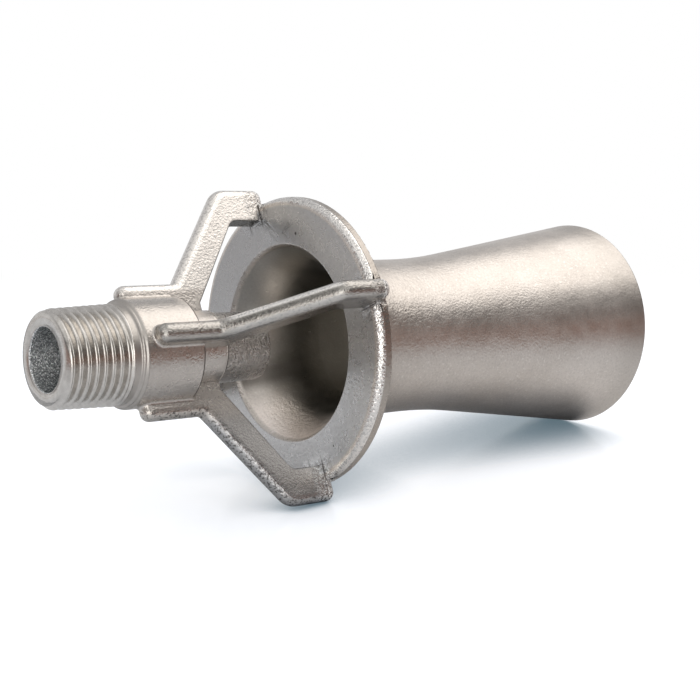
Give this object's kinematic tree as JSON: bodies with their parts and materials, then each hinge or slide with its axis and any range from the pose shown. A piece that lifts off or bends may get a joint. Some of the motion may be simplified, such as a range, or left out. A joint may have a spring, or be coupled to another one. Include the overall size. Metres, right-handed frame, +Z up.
{
  "type": "tank mixing eductor",
  "caption": "One-piece cast eductor: threaded inlet, nozzle, legs that carry a collared bell, and a flaring diffuser that mixes tank liquid with the jet.",
  "frame": {"origin": "on the floor the eductor lies on, under the middle of its length", "axes": "+X from the inlet to the outlet along the floor, +Z up, the casting's axis 4.15 degrees nose down from +X because the collar and the smaller outlet both touch the floor"},
  "size_m": [0.1577, 0.0664, 0.0668],
  "materials": {
    "cast_steel": "blasted stainless casting, warm grey, worn bright on its ridges"
  },
  "bodies": {
    "root": {"eductor": "cast_steel"}
  },
  "joints": []
}
